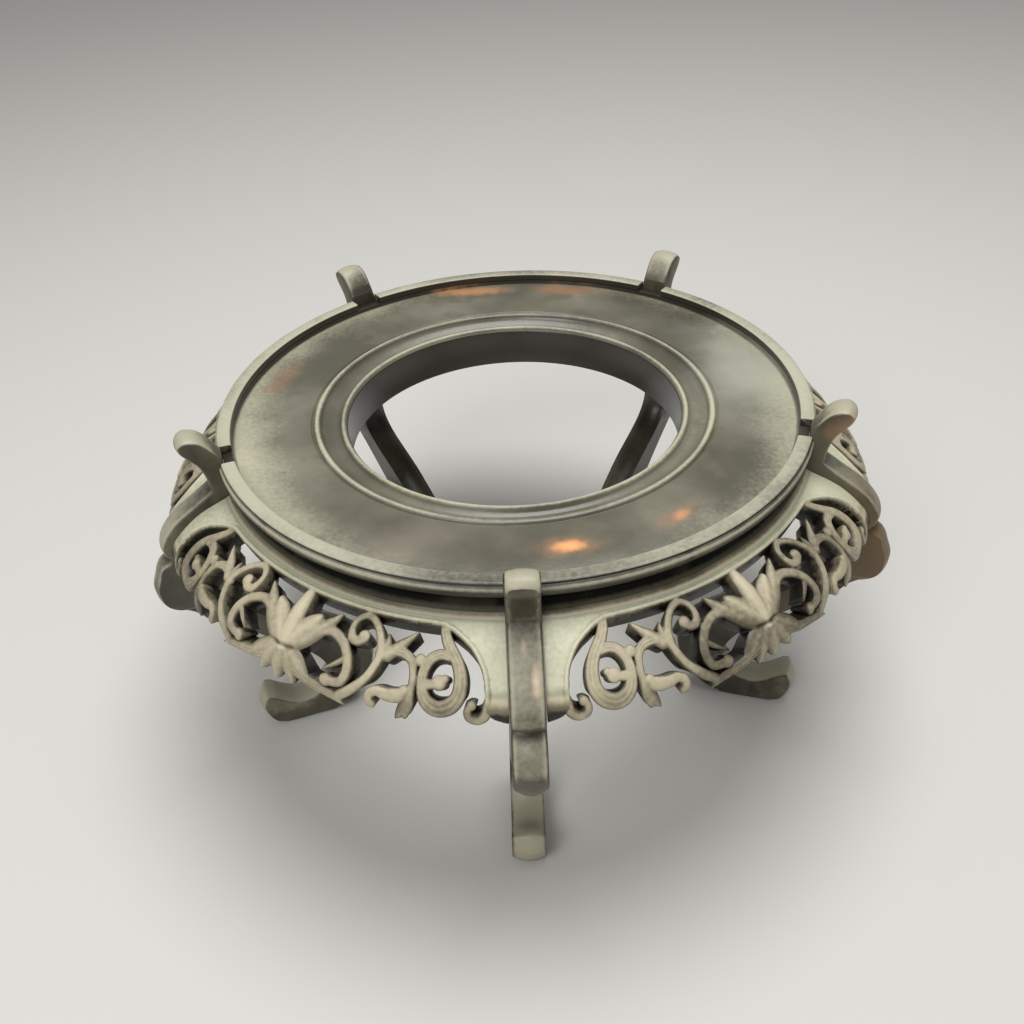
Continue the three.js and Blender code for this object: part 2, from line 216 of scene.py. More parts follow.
def agedWood(name, look):
    material, tree, shader = newMaterial(name)
    colour = {key: fromScreen(*value) for key, value in look["colours"].items()}
    place = outOf(addNode(tree, "ShaderNodeTexCoord"), "Object")
    cloud = noiseOn(tree, place, look["cloudScale"], wood["cloudDetail"])
    grain = noiseOn(tree, place, wood["grainScale"], wood["grainDetail"], look["grain"])
    speck = noiseOn(tree, place, wood["speckScale"], wood["speckDetail"])
    # this attribute holds real wear and dust together with painted highlight, painted sheen and painted shade
    wornAndPaintedLight = outOf(addNode(tree, "ShaderNodeAttribute", {"attribute_name": "wear"}), "Fac")
    broken = mathNode(tree, "ADD", wornAndPaintedLight, sway(tree, cloud, look["unevenness"]))
    broken = mathNode(tree, "ADD", broken, sway(tree, speck, wood["speckSway"]))
    body = mixColour(tree, spread(tree, cloud, wood["cloudReach"]), colour["dark"], colour["middle"])
    body = mixColour(tree, spread(tree, grain, wood["grainReach"]), body, colour["grain"])
    body = mixColour(tree, spread(tree, broken, look["wearReach"]), body, colour["pale"])
    # painted sheen: the highest values take pale sheen colours in place of the wood's own
    if "polished" in colour:
        sheenColour = spread(tree, broken, wood["polishReach"])
        sheenColour = mixColour(tree, sheenColour, colour["polishedDark"], colour["polished"])
        body = mixColour(tree, spread(tree, wornAndPaintedLight, wood["smoothReach"]), body, sheenColour)
    # painted shade: the lowest values mix towards a dark shade colour, for recesses, inner walls and backs
    if "hollow" in colour:
        body = mixColour(tree, spread(tree, broken, look["hollowReach"]), colour["hollow"], body)
    for patch in look["patches"]:
        body = patchOn(tree, place, body, patch)
    rough = mathNode(tree, "MULTIPLY_ADD", spread(tree, broken, wood["roughReach"]),
                     look["wornRoughness"] - look["roughness"], look["roughness"])
    rough = mathNode(tree, "ADD", sway(tree, cloud, wood["roughSway"]), rough)
    height = mathNode(tree, "ADD", mathNode(tree, "MULTIPLY", grain, wood["grainHeight"]),
                      mathNode(tree, "MULTIPLY", speck, wood["speckHeight"]))
    bump = addNode(tree, "ShaderNodeBump", Strength=look["bump"], Distance=wood["bumpDistance"], Height=height)
    for key, value in (("Base Color", body), ("Roughness", rough), ("Specular IOR Level", look["specular"]),
                       ("Coat Weight", look["coat"]), ("Coat Roughness", wood["coatRoughness"]),
                       ("Normal", bump.outputs[0])):
        plugIn(tree, value, shader.inputs[key])
    return material


def lookOf(colours, **changes):  # the plain look with some of its colours and values changed
    plain = {
        "colours": {"dark": (50, 47, 38), "middle": (84, 80, 67), "pale": (184, 179, 152), "grain": (46, 41, 31)},
        "hollowReach": (0.0, 0.3), "wearReach": (0.3, 1.0), "specular": 0.5, "cloudScale": 22,
        "grain": (1, 1, 0.15), "unevenness": 1.0, "roughness": 0.32, "wornRoughness": 0.5, "coat": 0.25,
        "bump": 0.35, "patches": [],
    }
    return {**plain, **changes, "colours": {**plain["colours"], **colours}}


tan = (158, 122, 92)
seatLevel, patchDepth = 0.176, 0.02
seatStainsAndReflections = [  # [x, y, turn, half length, half width, raggedness, strength, colour]
    # the first two are painted reflections of the light, on the right and near the front; the rest are stains
    [0.122, 0.03, 0.15, 0.045, 0.1, 26, 0.75, (168, 170, 154)],
    [-0.05, -0.108, 0.4, 0.05, 0.022, 40, 0.4, (150, 140, 124)],
    [0.0215, -0.1155, 0.1, 0.026, 0.011, 150, 0.85, tan],
    [0.0207, -0.1155, 0.1, 0.0115, 0.0068, 190, 1.0, (250, 178, 116)],
    [0.07, -0.0975, 0.7, 0.02, 0.008, 150, 0.6, tan],
    [0.0725, -0.0965, 0.7, 0.0085, 0.0055, 190, 0.75, (214, 152, 108)],
    [-0.022, 0.1425, 0.0, 0.04, 0.01, 130, 0.8, (206, 150, 104)],
    [0.035, 0.139, -0.2, 0.036, 0.011, 90, 0.6, (176, 122, 84)],
    [-0.1257, 0.0422, 1.2, 0.03, 0.01, 110, 0.55, (150, 110, 82)],
]
legPatches = [  # [place, turn, half sizes, raggedness, strength, colour]
    [(0.163, -0.053, 0.187), 0, (0.026, 0.016, 0.018), 80, 0.9, (176, 136, 98)],
    [(0.184, -0.054, 0.106), 0, (0.085, 0.07, 0.085), 50, 0.95, (100, 76, 40)],
    [(0.004, -0.170, 0.152), 0, (0.0034, 0.014, 0.009), 160, 0.8, (240, 214, 186)],
    [(-0.0005, -0.166, 0.163), 0, (0.003, 0.012, 0.006), 180, 0.7, (236, 212, 184)],
]
# the board's darkest colour is painted shade, for the dark line under the rim and down the hole's wall
boardWood = agedWood("polished board wood", lookOf(
    {"dark": (86, 83, 69), "middle": (126, 123, 106), "pale": (192, 189, 162), "grain": (104, 98, 82),
     "hollow": (44, 41, 31)},
    cloudScale=14, grain=(1, 1, 1), hollowReach=(-1.0, -0.45), unevenness=0.9, roughness=0.3, coat=0.3,
    patches=[[(x, y, seatLevel), turn, (length, width, patchDepth), *rest]
             for x, y, turn, length, width, *rest in seatStainsAndReflections]))
# the rim's darkest colour is painted shade, on its inner wall, in the quirk and towards the waist
rimWood = agedWood("worn rim wood", lookOf(
    {"dark": (66, 63, 51), "middle": (112, 108, 92), "pale": (186, 183, 160), "hollow": (44, 41, 31)},
    cloudScale=14, hollowReach=(-0.7, -0.2), unevenness=0.8, roughness=0.4))
# the waist is painted near black as the shadow under the rim
waistWood = agedWood("painted shadow waist wood", lookOf(
    {"dark": (5, 5, 3), "middle": (12, 11, 7), "pale": (78, 76, 62)},
    specular=0.12, unevenness=0.3, roughness=0.6, coat=0.0))
# the apron's darkest colour is painted shade in the recesses, along the piercings and on the back; its sheen pair
# is painted sheen on the shoulder and flank
apronWood = agedWood("dusty carved wood", lookOf(
    {"dark": (86, 78, 60), "middle": (130, 121, 98), "pale": (200, 189, 160), "grain": (112, 102, 80),
     "hollow": (22, 18, 11), "polished": (208, 206, 178), "polishedDark": (168, 168, 144)},
    wearReach=(0.36, 1.02), unevenness=0.75, roughness=0.42, wornRoughness=0.55, coat=0.12))
legWood = agedWood("worn leg wood", lookOf(
    {"dark": (54, 49, 37), "middle": (94, 88, 71), "pale": (172, 167, 144)},
    cloudScale=30, unevenness=1.1, roughness=0.36, patches=legPatches))
dowelWood = agedWood("dowel wood", lookOf({"dark": (150, 116, 80), "middle": (170, 134, 94)}))
print("materials made")


# Turned parts: profiles of [radius, depth below the rim's top], and wear, painted highlight and painted shade in
# zones, each with its strength in front, how much more it has at the sides, and where it lies

turning = {"sharpAngle": 0.45, "levelSlack": 1e-4, "radiusSlack": 1e-3, "segments": 2, "crease": 32,
           "legReach": 7.8, "wearLimits": (-1.5, 1.2)}


def turnedShape(profile, angle, steps, soften, start=0.0):
    shape = bmesh.new()
    corners = [shape.verts.new((radius * math.cos(start), radius * math.sin(start), rimTop - depth))
               for radius, depth in profile]
    sides = [shape.edges.new((corners[i - 1], corners[i])) for i in range(len(corners))]
    full = math.isclose(angle, 2 * math.pi)
    bmesh.ops.spin(shape, geom=corners + sides, cent=(0, 0, 0), axis=(0, 0, 1), dvec=(0, 0, 0), angle=angle,
                   space=Matrix.Identity(4), steps=steps, use_merge=full, use_normal_flip=False,
                   use_duplicate=False)
    turnOutwards(shape)
    rings = []
    for edge in shape.edges:
        first, second = (vert.co for vert in edge.verts)
        if (len(edge.link_faces) == 2 and edge.calc_face_angle(0) > turning["sharpAngle"]
                and abs(first.z - second.z) < turning["levelSlack"]
                and abs(first.xy.length - second.xy.length) < turning["radiusSlack"]):
            rings.append(edge)
    softenEdges(shape, rings, soften, turning["segments"], True)
    return shape


def trimToBay(shape, azimuth, reach):  # cut square to the two neighbouring legs, and closed there
    for side in (-1, 1):
        legAngle = azimuth + side * sector / 2
        across = Vector((-math.sin(legAngle), math.cos(legAngle), 0)) * side  # towards and past the leg
        cut = cutThrough(shape, -across * reach, across, True)
        ends = [item for item in cut["geom_cut"] if isinstance(item, bmesh.types.BMEdge)]
        bmesh.ops.edgeloop_fill(shape, edges=ends)


def keepTurned(shape, name, node, material, zones):
    turnOutwards(shape)
    mesh = meshOf(shape, name)
    x, y, level = placesOf(mesh).T
    measures = {"radius": np.hypot(x, y), "depth": rimTop - level}
    side = np.abs(x) / np.maximum(measures["radius"], 1)
    wear = np.zeros(len(x))
    for inFront, atSides, *tests in zones.values():
        share = inFront + atSides * side
        for measure, test, *numbers in tests:
            share = share * test(measures[measure], *numbers)
        wear += share
    keepMesh(mesh, name, [node], material, wear.clip(*turning["wearLimits"]), turning["crease"])


board = {
    "holeRadius": 86.7, "depth": 30.0, "plugRadius": 144.0, "flange": 9.0, "ledgeRadius": 149.8, "ledge": 4.0,
    "floor": 6.0, "floorRadius": 144.9, "floorEdge": [[0, 0.25], [-1.2, 0.25], [-1.8, 0]],
    "groove": [[1.3, 0], [0.7, 1], [0.1, 1]],  # from the ridge's outer edge and the floor
    "ridgeInner": 100.3, "ridgeWidth": 3.8, "ridgeDepth": 5.3, "ridgeArch": (1.9, 1.2),
    "ridgeAngles": (0, 40, 80, 120, 160),
    "valley": [[0, 1.6], [-1.2, 3.3], [-4.6, 5.3], [-7.3, 5.5], [-9.4, 4.5]],  # from the ridge's inner edge
    "valleySteps": 4,
    "beadTop": 7.2, "beadOuter": [3.3, 0.6], "beadInset": 0.9, "beadArch": (1.5, 1.7),
    "beadAngles": (90, 60, 30, 0), "beadFoot": 2.4, "soften": 0.35, "steps": 300,
    "wear": {
        "ridge": (0.55, 0.35, ("radius", bell, 102.2, 1.6), ("depth", below, 6.4)),
        "bead": (0.8, 0, ("radius", bell, 88.9, 1.8), ("depth", below, 8.6)),
        # painted shade: the dark line where the floor runs under the rim
        "step": (-1.4, 0, ("radius", smoothStep, 144.2, 144.8)),
        "floor": (0.22, 0, ("radius", smoothStep, 105, 110), ("depth", below, 6.5)),
        "floorEdge": (0.05, 0.6, ("radius", bell, 142, 2.4), ("depth", below, 6.5)),
        "valley": (0.3, 0, ("radius", smoothStep, 90.5, 93), ("radius", smoothStep, 101, 99)),
        # painted shade down the wall of the hole
        "wall": (-1.4, 0, ("radius", below, 87.2), ("depth", above, 9)),
    },
}


def boardProfile(size):
    hole, ridge, floor = size["holeRadius"], size["ridgeInner"], size["floor"]
    ridgeOut = ridge + size["ridgeWidth"]
    reach, rise = size["ridgeArch"]
    ridgeArch = [[ridgeOut - reach + reach * math.cos(a), size["ridgeDepth"] + rise * (1 - math.sin(a))]
                 for a in np.radians(size["ridgeAngles"])]
    reach, rise = size["beadArch"]
    beadArch = [[hole + size["beadInset"] + reach * (1 - math.cos(a)), size["beadTop"] + rise * (1 - math.sin(a))]
                for a in np.radians(size["beadAngles"])]
    valley = throughPoints(beside((ridge, size["ridgeDepth"]), size["valley"]), size["valleySteps"])
    return [[hole, size["depth"]], [size["plugRadius"], size["depth"]], [size["plugRadius"], size["flange"]],
            [size["ledgeRadius"], size["flange"]], [size["ledgeRadius"], size["ledge"]],
            [size["floorRadius"], size["ledge"]], *beside((size["floorRadius"], floor), size["floorEdge"]),
            *beside((ridgeOut, floor), size["groove"]), *ridgeArch, *[list(point) for point in valley],
            *beside((hole, size["beadTop"]), [size["beadOuter"]]), *beadArch,
            [hole, size["beadTop"] + size["beadFoot"]]]


seat = turnedShape(boardProfile(board), 2 * math.pi, board["steps"], board["soften"])
keepTurned(seat, "turned_seat_board", "seat_board", boardWood, board["wear"])
print("board turned")

rim = {
    "inner": 144.9, "outer": 152.0, "underside": 3.7, "lap": 150.1, "skirt": 8.0, "soften": 0.4, "steps": 64,
    "edge": [[-0.6, 8], [0.4, 6.9], [0.9, 5.6], [1, 4], [0.8, 2.9], [0.3, 2.1], [-0.1, 1.8], [-0.8, 1.5],
             [-0.8, 1.2], [-0.2, 0.9], [-0.3, 0.5], [-0.9, 0.1], [-1.8, 0]],
    "lip": [[0.9, 0], [0.2, 0.3], [0, 0.9]],
    "wear": {
        "top": (0.55, 0.25, ("depth", below, 0.6)),
        # painted highlight along the inner top edge
        "lip": (0.2, 0, ("radius", bell, 145.3, 0.6), ("depth", below, 1)),
        # painted shade on the inner wall
        "inner": (-1.2, 0, ("radius", below, 145.1), ("depth", above, 0.8)),
        "bead": (0.95, 0, ("radius", above, 151.7), ("depth", bell, 3.2, 1.3)),
        # painted shade in the quirk and down the foot towards the waist
        "quirk": (-1.2, 0, ("radius", above, 150.5), ("depth", bell, 1.35, 0.4)),
        "foot": (-0.9, 0, ("depth", smoothStep, 4.4, 6.2)),
    },
}
waist = {
    "inner": 144.3, "reach": 150.0, "hollow": 2.6, "top": 9.3, "bottom": 17.0, "faceSteps": 11,
    "soften": 0.15, "steps": 64,
    # painted shadow all over, paler at the foot where the waist meets the apron
    "wear": {"allOver": (-0.1, 0), "foot": (1.1, 0, ("depth", smoothStep, 13.2, 17.2))},
}


def rimProfile(size):
    return [[size["inner"], size["underside"]], [size["lap"], size["underside"]], [size["lap"], size["skirt"]],
            *beside((size["outer"], 0), size["edge"]), *beside((size["inner"], 0), size["lip"])]


def waistProfile(size):
    face = [[size["reach"] - size["hollow"] * math.sin(math.pi * share),
             size["bottom"] + (size["top"] - size["bottom"]) * share]
            for share in np.linspace(0, 1, size["faceSteps"])]
    return [[size["inner"], size["bottom"]], *face, [size["inner"], size["top"]]]


for k in range(legCount):
    azimuth = frontAngle + sector * (k + 0.5)
    for size, profile, node, material in ((rim, rimProfile(rim), "rim", rimWood),
                                          (waist, waistProfile(waist), "waist", waistWood)):
        segment = turnedShape(profile, sector, size["steps"], size["soften"], azimuth - sector / 2)
        trimToBay(segment, azimuth, turning["legReach"])
        keepTurned(segment, f"{node}_segment_{k + 1}", f"{node}_{k + 1}", material, size["wear"])
print("rims and waists turned")


# Legs with upturned hooks, cut from a board and rounded along their arrises

legShape = {
    "face": 150.1, "inner": 144.3, "rimRadius": 152.0, "width": 15.0, "footWidth": 17.2, "taperTop": 130.0,
    "arris": 2.1, "arrisSegments": 4, "lineSteps": 8, "hookRoot": 2.3, "soleBack": -30.4,
    "backLevels": (152, 172.7),
    "hook": [[3.0, 9.6], [6.6, 13.4], [11.0, 15.2], [15.4, 15.0], [18.4, 12.0], [17.6, 8.2], [14.8, 4.4],
             [10.6, -0.6], [8.1, -7.0], [7.0, -15.2]],
    "shoulder": [[14.5, -20.2], [28.5, -29.8], [36.9, -40.8], [36.5, -48.8]],
    "ledge": [34.4, 131.2],
    "knee": [[40.6, 127.6], [43.8, 120.6], [45.9, 112.4], [42, 100.2], [25, 87.6]],
    "ankle": [[0, 68.2], [-22, 48.2], [-31.2, 30], [-24, 18.2], [-12, 15.6], [0, 23.6]],
    "toe": [[6, 24.2], [9.4, 14.8], [3.5, 2.2], [-7.6, 0]],
    "heel": [[-43, 5], [-56, 22], [-58, 45], [-34, 67.8]],
    "innerKnee": [[-3, 87.4], [4.6, 104], [-1.5, 128.8]],
    "sharpAbove": 140, "sharpSlack": 0.1,  # the back of the arm keeps its edges
    "cutLevels": (4, 200, 6), "cutSides": (-4.6, -2.6, 0, 2.6, 4.6),
    "crown": 2.6, "crownLeast": 0.25, "crownKnee": (150, 120), "crownHook": (176, 186), "crownHookShare": 0.35,
    "crownAbove": 0.5, "lobeFrom": 174.0, "lobeBlend": 9, "lobeEnd": 96.0, "lobeRound": 15.0, "lobeUnder": 12,
    "lobeLeast": 0.3, "lean": -2.4, "leanReach": (100, 20), "crease": 40,
}


def legOutline(size):
    steps, reach = size["lineSteps"], size["rimRadius"]
    hook, shoulder = (beside((reach, rimTop), size[key]) for key in ("hook", "shoulder"))
    ledge, knee, ankle, toe, heel, innerKnee = (
        beside((reach, 0), points) for points in
        ([size["ledge"]], size["knee"], size["ankle"], size["toe"], size["heel"], size["innerKnee"]))
    line = throughPoints([[size["face"], rimTop + size["hookRoot"]], *hook], steps)
    line += throughPoints([line[-1], *shoulder], steps)[1:]
    line += throughPoints([*ledge, *knee, *ankle], steps)
    line += throughPoints([line[-1], *toe], steps)[1:]
    line += throughPoints([[reach + size["soleBack"], 0], *heel, *innerKnee], steps)
    under, over = size["backLevels"]
    return line + [[size["inner"], under], [size["inner"], over], [size["face"], over]]


def crownPlace(place, normal, size):  # the faces round over, more below the shoulder and on the hook
    share = float(smoothStep(place.z, *size["crownKnee"]))
    share += size["crownHookShare"] * float(smoothStep(place.z, *size["crownHook"]))
    sink = size["crown"] * (size["crownLeast"] + (1 - size["crownLeast"]) * min(1, share))
    sink *= (abs(place.y) / size["width"] * 2) ** 2
    place += Vector((-normal.x * sink, 0, -normal.z * sink))
    place.z = max(place.z, 0.0)


def widthShare(place, size):  # how the width changes towards the foot and round the end of the lobe
    drop = max(0, size["taperTop"] - place.z) / size["taperTop"]
    share = 1 + (size["footWidth"] / size["width"] - 1) * drop
    rise = place.z - size["lobeEnd"]
    if place.x > size["lobeFrom"] and -size["lobeUnder"] < rise < size["lobeRound"]:
        upwards = min(1, max(0.0, rise / size["lobeRound"]))
        narrow = size["lobeLeast"] + (1 - size["lobeLeast"]) * math.sqrt(1 - (1 - upwards) ** 2)
        blend = float(smoothStep(place.x, size["lobeFrom"], size["lobeFrom"] + size["lobeBlend"]))
        share *= 1 + (narrow - 1) * blend
    return share


def legBody(size):
    shape = bmesh.new()
    blank = shape.faces.new([shape.verts.new((radius, -size["width"] / 2, level))
                             for radius, level in legOutline(size)])
    pulled = bmesh.ops.extrude_face_region(shape, geom=[blank])
    bmesh.ops.translate(shape, vec=(0, size["width"], 0),
                        verts=[item for item in pulled["geom"] if isinstance(item, bmesh.types.BMVert)])
    turnOutwards(shape)
    arrises = []
    for edge in shape.edges:
        ends = [vert.co for vert in edge.verts]
        isBack = (max(end.x for end in ends) < size["face"] + size["sharpSlack"]
                  and min(end.z for end in ends) > size["sharpAbove"])
        if math.isclose(ends[0].y, ends[1].y, abs_tol=tolerance) and not isBack:
            arrises.append(edge)
    softenEdges(shape, arrises, size["arris"], size["arrisSegments"], False)
    for level in np.arange(*size["cutLevels"]):
        cutThrough(shape, (0, 0, level), (0, 0, 1))
    for side in size["cutSides"]:
        cutThrough(shape, (0, side, 0), (0, 1, 0))
    turnOutwards(shape)
    shape.normal_update()
    for vert in shape.verts:
        if vert.co.z > size["crownAbove"]:
            crownPlace(vert.co, vert.normal, size)
        vert.co.y *= widthShare(vert.co, size)
    turnOutwards(shape)
    return shape


legShadeAndWearSettings = {
    "footSpread": 0.147, "faceEdge": (0.97, 0.8), "arrisAt": (0.84, 0.12), "outerFrom": (0, 12),
    "outerAbove": (92, 104), "hookAbove": (1, 8), "footFrom": (112, 128), "footBelow": (46, 30),
    "belly": [[6.9, -15.5], [8.1, -7], [10.6, -0.6], [14.8, 4.4], [17.6, 8.2], [18.4, 11]],
    "bellyFrom": 6.6, "bellyAbove": (-13, -7), "bellyDepth": (3.0, 1.0), "creaseAt": (132.6, 2.4),
    "creaseFrom": 26, "lobeBelow": (119, 105), "lobeFrom": 18, "insideFrom": (152, 138),
    "insideAbove": (40, 60), "soleBelow": (9, 2), "base": 0.16, "arris": 0.3, "outer": 0.5, "hook": 0.36,
    # the last strengths darken the painted shade under the hook and in the leg's shaded places
    "foot": 0.75, "footEdge": 0.35, "underHook": 1.1, "hidden": 0.9, "limits": (-0.6, 1.3),
}


def legWearAndShade(places, size, wornAndPaintedLight):
    radius, across, height = places.T
    out, rise = radius - size["rimRadius"], height - rimTop
    drop = np.clip((size["taperTop"] - height) / size["taperTop"], 0, 1)
    side = np.abs(across) / (size["width"] / 2 * (1 + wornAndPaintedLight["footSpread"] * drop))
    face = smoothStep(side, *wornAndPaintedLight["faceEdge"])  # 1 on the narrow faces, 0 on the flat sides
    outer = smoothStep(out, *wornAndPaintedLight["outerFrom"]) * smoothStep(height, *wornAndPaintedLight["outerAbove"])
    # painted shade under the hook's belly
    underHook = face * (out > wornAndPaintedLight["bellyFrom"]) * smoothStep(rise, *wornAndPaintedLight["bellyAbove"])
    underHook *= smoothStep(rise - np.interp(out, *np.transpose(wornAndPaintedLight["belly"])), *wornAndPaintedLight["bellyDepth"])
    hook = smoothStep(rise, *wornAndPaintedLight["hookAbove"]) * face * (1 - underHook)
    foot = smoothStep(radius, *wornAndPaintedLight["footFrom"]) * smoothStep(height, *wornAndPaintedLight["footBelow"])
    pale = wornAndPaintedLight["base"] + wornAndPaintedLight["arris"] * bell(side, *wornAndPaintedLight["arrisAt"]) * (outer + hook)
    pale += wornAndPaintedLight["outer"] * outer * face + wornAndPaintedLight["hook"] * hook
    pale += wornAndPaintedLight["foot"] * foot * (wornAndPaintedLight["footEdge"] + (1 - wornAndPaintedLight["footEdge"]) * face)
    # painted shade in the crease above the lobe, on the lobe's lower part, on the leg's inside and along the sole
    hidden = bell(height, *wornAndPaintedLight["creaseAt"]) * (out > wornAndPaintedLight["creaseFrom"])
    hidden += smoothStep(height, *wornAndPaintedLight["lobeBelow"]) * (out > wornAndPaintedLight["lobeFrom"])
    hidden += smoothStep(radius, *wornAndPaintedLight["insideFrom"]) * smoothStep(height, *wornAndPaintedLight["insideAbove"])
    hidden += smoothStep(height, *wornAndPaintedLight["soleBelow"])
    return np.clip(pale - wornAndPaintedLight["underHook"] * underHook - wornAndPaintedLight["hidden"] * hidden, *wornAndPaintedLight["limits"])


legMesh = meshOf(legBody(legShape), "leg")
legShadeAndWearValues = legWearAndShade(placesOf(legMesh), legShape, legShadeAndWearSettings)
for k in range(legCount):
    mesh = legMesh.copy()
    if k == 0:  # the front leg's foot stands a little off its own middle plane
        for vert in mesh.vertices:
            vert.co.y += legShape["lean"] * float(smoothStep(vert.co.z, *legShape["leanReach"]))
    mesh.transform(Matrix.Rotation(frontAngle + sector * k, 4, "Z"))
    keepMesh(mesh, f"hooked_leg_{k + 1}", [f"leg_{k + 1}"], legWood, legShadeAndWearValues, legShape["crease"])
    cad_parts[f"leg_dowel_{k + 1}"].data.materials[0] = dowelWood
print("legs cut")


# Pierced aprons, carved in relief on a flat grid and then bent round the stand

apron = {
    "profile": [[149, 16], [152.3, 19.3], [162.6, 23.6], [169.6, 27.4], [177, 33.4], [182.2, 39.2],
                [184.6, 45.6], [185.1, 53.2], [184.6, 63.8]],
    "profileSteps": 60, "thickness": 9.5, "carvingRadius": 186.0, "legReach": 7.8, "top": 164.7,
    "innerRadius": 144.3, "down": 54.0, "cell": 0.5, "crease": 50,
    "arch": [[40, 9], [60, 9], [74.7, 9.1], [78.9, 10.1], [84.6, 13], [92, 19], [97, 27], [98.6, 34],
             [98.9, 39]],
    "archSteps": 8, "archStart": [-30, 9],
    "flank": [[99.2, 43.4], [101, 46.4], [104.5, 48.6], [110, 50.2], [117, 51.2], [126, 51.6]],
    "flankSteps": 6, "corners": [[126, -20], [-30, -20]],
    "snapRounds": 3, "snapProbe": 0.04, "snapSteepLeast": 0.25, "snapMost": 0.3,
}
relief = {
    "ribbonSteps": 7, "ribbonGain": 0.45, "gainAbove": 1.5, "thinnest": 0.05, "crownShare": 0.5,
    "crownMost": 1.3, "round": 0.94, "leafSlope": 0.55, "leafEdge": 0.7, "grooveDepth": 0.4,
    "grooveAt": (0.3, 0.16), "grooveWide": (1.2, 2.2), "lipWidth": 2.6, "lipRise": 1.2, "lipFade": (39, 43),
    "quirkDepth": 0.35, "quirkInset": 0.3, "quirkWidth": 0.4, "edgeDrop": 0.5, "edgeWidth": 0.4,
    "knobDrop": 0.9, "overlap": 0.3, "least": -2.4, "creaseDepth": 1.3, "creaseLevel": 35.4,
    "creaseBend": 0.012, "creaseWidth": 0.9, "creaseFade": (4, 8),
}
# Ribbons as the kind of section, how far the crown stands up, and [along, down, width] points
ribbons = [
    ("leaf", 0.3, [[1, 35.6, 6], [8, 29.8, 9.4], [15.4, 23.2, 8], [20.4, 17.4, 4.8], [23.8, 13.2, 0.6]]),
    ("leaf", 0.9, [[1, 35, 5], [5, 28.6, 10], [9.2, 23, 9], [12.2, 19.2, 5.6], [13.4, 17.6, 2]]),
    ("leaf", 1.3, [[0, 36, 6], [0, 30, 9.4], [0, 22, 9], [0, 15, 7.8], [0, 10.6, 6], [0, 9, 3]]),
    ("leaf", 0.5, [[0, 34, 7], [0, 42, 9.4], [0, 48.6, 6], [0, 51.4, 1]]),
    ("leaf", 0.35, [[1, 34.4, 6], [5.2, 41.6, 8.4], [8.4, 47.8, 5.4], [9.8, 50.6, 1]]),
    ("leaf", 0.2, [[2, 34.6, 6], [9.6, 40, 8.6], [15.2, 44.8, 5.6], [17.6, 47.2, 1]]),
    ("round", 0.0, [[12, 25.6, 4.6], [21.5, 21.6, 4.6], [29.2, 24.2, 4.4], [34.2, 30, 4.4], [35.6, 36.5, 4.4],
                    [33.4, 41.4, 4.2], [27, 42.5, 4]]),
    ("leaf", -0.2, [[34, 30.4, 3.4], [29, 34.5, 2], [24.5, 37.6, 0.8]]),
    ("groove", 0.2, [[9, 43, 5], [17.5, 46, 4.6], [24, 47.3, 4.2], [30.5, 48.8, 3.6], [36.4, 51.2, 0.8]]),
    ("round", 0.2, [[34, 47.6, 4.4], [40.3, 42.2, 4.2], [45.1, 37, 3.6], [48, 31.5, 3.6], [49.6, 25, 3.8],
                    [47.4, 18.5, 3.6], [43, 12.8, 3.4], [37.3, 10.2, 3.4], [33, 12.6, 3.2], [31.8, 17, 3.2],
                    [33.4, 21.4, 4.2], [37, 22.2, 4.2], [39.4, 20.4, 4]]),
    ("leaf", 0.0, [[48.8, 25, 4], [51.6, 20.8, 3.6], [51.2, 16.2, 0.8]]),
    ("groove", 0.1, [[49.5, 24.6, 3.6], [58.4, 22.6, 4.4], [64.6, 25.2, 3.8], [66.7, 31, 3], [66.8, 38, 3],
                     [66.4, 44, 3.4], [65.4, 48, 2.4], [64.5, 50.8, 0.8]]),
    ("leaf", 0.3, [[53, 25, 6], [58, 20.2, 5.6], [61.6, 16.8, 3.2], [65.4, 13.2, 0.7]]),
    ("round", 0.5, [[63.6, 38.6, 3.6], [61, 40.8, 6], [56, 41.4, 5.4], [51.4, 40.6, 4.2], [48.4, 42.6, 3.8],
                    [48.2, 45.6, 3.6]]),
    ("leaf", 0.0, [[66.2, 41, 4], [65, 45.6, 6.4], [63, 49.2, 5], [60.6, 51.8, 0.9]]),
    ("groove", 0.3, [[77.7, 8.2, 4.8], [78.9, 13, 4.8], [82, 18.4, 5.4], [86, 24, 5.4], [88.2, 31, 5.8],
                     [87.6, 38, 6.2], [83.6, 43, 7.2], [78, 44.4, 7.4], [73.2, 40.5, 5.6], [71.2, 34, 4.4],
                     [71.6, 28, 4.4], [74.4, 23.2, 4.6], [78.4, 21.4, 4.4], [82.4, 22.4, 3.2]]),
    ("round", 0.2, [[71.4, 34.4, 4.4], [75, 34.2, 4], [78.4, 33.2, 4]]),
    ("round", 0.2, [[100.5, 40.5, 4], [99.2, 46, 3.8], [96, 48.8, 3.6], [92.6, 47.8, 3.2], [91.6, 44.4, 2.8],
                    [93, 41.8, 3]]),
]
# Round ends and knobs as [along, down, radius, rise]
knobs = [[26.6, 42.2, 2.9, 0.4], [39.2, 19.8, 3.0, 0.5], [37.3, 9.6, 2, 0.3], [49.4, 47, 2.1, 0.3],
         [69, 24.8, 2.7, 0.3], [78.8, 33.2, 3.3, 0.6], [81.4, 31.4, 1.8, 0.4], [63.8, 38.2, 2.3, 0.5],
         [93.4, 41.6, 2.1, 0.4], [35.4, 46.2, 2.2, 0.1]]
farAway = 1e3


def nearestOn(start, end, along, down):  # the share of the run where each place is nearest, and its gap there
    run = end[:2] - start[:2]
    share = np.clip(((along - start[0]) * run[0] + (down - start[1]) * run[1]) / (run @ run), 0, 1)
    return share, np.hypot(along - start[0] - share * run[0], down - start[1] - share * run[1])


